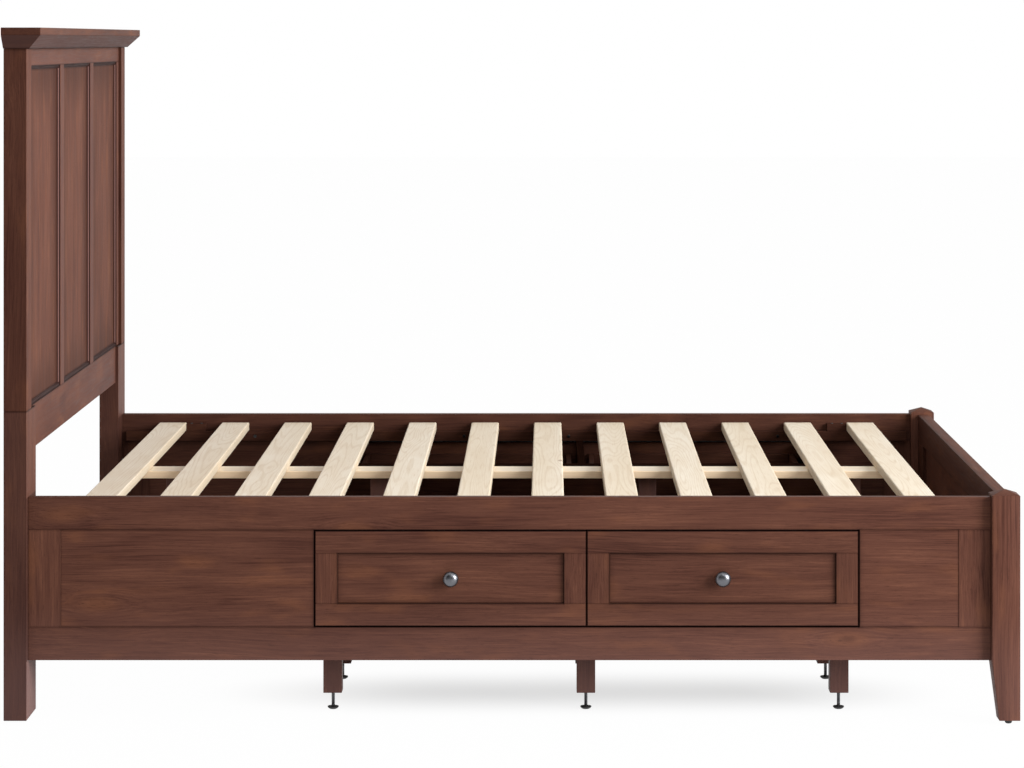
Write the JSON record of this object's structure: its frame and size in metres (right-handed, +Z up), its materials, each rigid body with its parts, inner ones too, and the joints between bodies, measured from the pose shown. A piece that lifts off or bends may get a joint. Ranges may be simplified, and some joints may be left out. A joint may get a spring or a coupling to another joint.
{
  "type": "storage platform bed",
  "caption": "Full-size wooden platform bed with a tall panelled headboard, low footboard, slatted base and drawers on telescopic slides under both sides.",
  "frame": {"origin": "on the floor under the middle of the bed's outline", "axes": "+X from the headboard to the footboard, +Y to the left of someone lying in the bed, +Z up"},
  "size_m": [2.034, 1.531, 1.396],
  "materials": {
    "stained_wood": "satin",
    "drawer_box_wood": "satin",
    "pine": "matte",
    "zinc_steel": "satin",
    "dark_metal": "satin",
    "black_plastic": "matte"
  },
  "bodies": {
    "bed_frame": {"headboard_legs": "stained_wood", "headboard_posts": "stained_wood", "headboard_top_rail": "stained_wood", "headboard_lower_rail": "stained_wood", "headboard_stiles": "stained_wood", "headboard_panels": "stained_wood", "headboard_panel_mouldings": "stained_wood", "crown_core": "stained_wood", "crown_mouldings": "stained_wood", "cap_board": "stained_wood", "footboard_posts": "stained_wood", "footboard_rails": "stained_wood", "footboard_stiles": "stained_wood", "footboard_panel": "stained_wood", "side_rails": "stained_wood", "side_stiles": "stained_wood", "side_panels": "stained_wood", "slat_ledgers": "stained_wood", "slat_stop_blocks": "stained_wood", "case_panels": "stained_wood", "case_backs": "stained_wood", "support_legs": "stained_wood", "slats": "pine", "center_support": "pine", "bed_bolts": "zinc_steel", "barrel_nuts": "zinc_steel", "slide_case_members": "zinc_steel", "leg_glides": "black_plastic"},
    "left_head_drawer": {"left_head_drawer_front": "stained_wood", "left_head_drawer_box": "drawer_box_wood", "left_head_drawer_knob": "dark_metal", "left_head_drawer_slide_runners": "zinc_steel"},
    "left_head_drawer_slide_middles": {"left_head_drawer_slide_middles": "zinc_steel"},
    "left_foot_drawer": {"left_foot_drawer_front": "stained_wood", "left_foot_drawer_box": "drawer_box_wood", "left_foot_drawer_knob": "dark_metal", "left_foot_drawer_slide_runners": "zinc_steel"},
    "left_foot_drawer_slide_middles": {"left_foot_drawer_slide_middles": "zinc_steel"},
    "left_outer_head_leveling_foot": {"left_outer_head_leveling_foot": "black_plastic"},
    "left_outer_middle_leveling_foot": {"left_outer_middle_leveling_foot": "black_plastic"},
    "left_outer_foot_leveling_foot": {"left_outer_foot_leveling_foot": "black_plastic"},
    "left_inner_head_leveling_foot": {"left_inner_head_leveling_foot": "black_plastic"},
    "left_inner_middle_leveling_foot": {"left_inner_middle_leveling_foot": "black_plastic"},
    "left_inner_foot_leveling_foot": {"left_inner_foot_leveling_foot": "black_plastic"},
    "right_head_drawer": {"right_head_drawer_front": "stained_wood", "right_head_drawer_box": "drawer_box_wood", "right_head_drawer_knob": "dark_metal", "right_head_drawer_slide_runners": "zinc_steel"},
    "right_head_drawer_slide_middles": {"right_head_drawer_slide_middles": "zinc_steel"},
    "right_foot_drawer": {"right_foot_drawer_front": "stained_wood", "right_foot_drawer_box": "drawer_box_wood", "right_foot_drawer_knob": "dark_metal", "right_foot_drawer_slide_runners": "zinc_steel"},
    "right_foot_drawer_slide_middles": {"right_foot_drawer_slide_middles": "zinc_steel"},
    "right_outer_head_leveling_foot": {"right_outer_head_leveling_foot": "black_plastic"},
    "right_outer_middle_leveling_foot": {"right_outer_middle_leveling_foot": "black_plastic"},
    "right_outer_foot_leveling_foot": {"right_outer_foot_leveling_foot": "black_plastic"},
    "right_inner_head_leveling_foot": {"right_inner_head_leveling_foot": "black_plastic"},
    "right_inner_middle_leveling_foot": {"right_inner_middle_leveling_foot": "black_plastic"},
    "right_inner_foot_leveling_foot": {"right_inner_foot_leveling_foot": "black_plastic"}
  },
  "joints": [
    {"name": "left_head_drawer_slide", "type": "slide", "parent": "bed_frame", "child": "left_head_drawer", "axis": [0, 1, 0], "range_m": [0, 0.38]},
    {"name": "left_head_drawer_middles_slide", "type": "slide", "parent": "bed_frame", "child": "left_head_drawer_slide_middles", "axis": [0, 1, 0], "range_m": [0, 0.19]},
    {"name": "left_foot_drawer_slide", "type": "slide", "parent": "bed_frame", "child": "left_foot_drawer", "axis": [0, 1, 0], "range_m": [0, 0.38]},
    {"name": "left_foot_drawer_middles_slide", "type": "slide", "parent": "bed_frame", "child": "left_foot_drawer_slide_middles", "axis": [0, 1, 0], "range_m": [0, 0.19]},
    {"name": "left_outer_head_leveling_foot_screw", "type": "slide", "parent": "bed_frame", "child": "left_outer_head_leveling_foot", "axis": [0, 0, 1], "range_m": [-0.01, 0.015]},
    {"name": "left_outer_middle_leveling_foot_screw", "type": "slide", "parent": "bed_frame", "child": "left_outer_middle_leveling_foot", "axis": [0, 0, 1], "range_m": [-0.01, 0.015]},
    {"name": "left_outer_foot_leveling_foot_screw", "type": "slide", "parent": "bed_frame", "child": "left_outer_foot_leveling_foot", "axis": [0, 0, 1], "range_m": [-0.01, 0.015]},
    {"name": "left_inner_head_leveling_foot_screw", "type": "slide", "parent": "bed_frame", "child": "left_inner_head_leveling_foot", "axis": [0, 0, 1], "range_m": [-0.01, 0.015]},
    {"name": "left_inner_middle_leveling_foot_screw", "type": "slide", "parent": "bed_frame", "child": "left_inner_middle_leveling_foot", "axis": [0, 0, 1], "range_m": [-0.01, 0.015]},
    {"name": "left_inner_foot_leveling_foot_screw", "type": "slide", "parent": "bed_frame", "child": "left_inner_foot_leveling_foot", "axis": [0, 0, 1], "range_m": [-0.01, 0.015]},
    {"name": "right_head_drawer_slide", "type": "slide", "parent": "bed_frame", "child": "right_head_drawer", "axis": [0, -1, 0], "range_m": [0, 0.38]},
    {"name": "right_head_drawer_middles_slide", "type": "slide", "parent": "bed_frame", "child": "right_head_drawer_slide_middles", "axis": [0, -1, 0], "range_m": [0, 0.19]},
    {"name": "right_foot_drawer_slide", "type": "slide", "parent": "bed_frame", "child": "right_foot_drawer", "axis": [0, -1, 0], "range_m": [0, 0.38]},
    {"name": "right_foot_drawer_middles_slide", "type": "slide", "parent": "bed_frame", "child": "right_foot_drawer_slide_middles", "axis": [0, -1, 0], "range_m": [0, 0.19]},
    {"name": "right_outer_head_leveling_foot_screw", "type": "slide", "parent": "bed_frame", "child": "right_outer_head_leveling_foot", "axis": [0, 0, 1], "range_m": [-0.01, 0.015]},
    {"name": "right_outer_middle_leveling_foot_screw", "type": "slide", "parent": "bed_frame", "child": "right_outer_middle_leveling_foot", "axis": [0, 0, 1], "range_m": [-0.01, 0.015]},
    {"name": "right_outer_foot_leveling_foot_screw", "type": "slide", "parent": "bed_frame", "child": "right_outer_foot_leveling_foot", "axis": [0, 0, 1], "range_m": [-0.01, 0.015]},
    {"name": "right_inner_head_leveling_foot_screw", "type": "slide", "parent": "bed_frame", "child": "right_inner_head_leveling_foot", "axis": [0, 0, 1], "range_m": [-0.01, 0.015]},
    {"name": "right_inner_middle_leveling_foot_screw", "type": "slide", "parent": "bed_frame", "child": "right_inner_middle_leveling_foot", "axis": [0, 0, 1], "range_m": [-0.01, 0.015]},
    {"name": "right_inner_foot_leveling_foot_screw", "type": "slide", "parent": "bed_frame", "child": "right_inner_foot_leveling_foot", "axis": [0, 0, 1], "range_m": [-0.01, 0.015]}
  ],
  "couplings": [
    {"joint": "left_head_drawer_middles_slide", "follows": "left_head_drawer_slide", "ratio": 0.5},
    {"joint": "left_foot_drawer_middles_slide", "follows": "left_foot_drawer_slide", "ratio": 0.5},
    {"joint": "right_head_drawer_middles_slide", "follows": "right_head_drawer_slide", "ratio": 0.5},
    {"joint": "right_foot_drawer_middles_slide", "follows": "right_foot_drawer_slide", "ratio": 0.5}
  ]
}
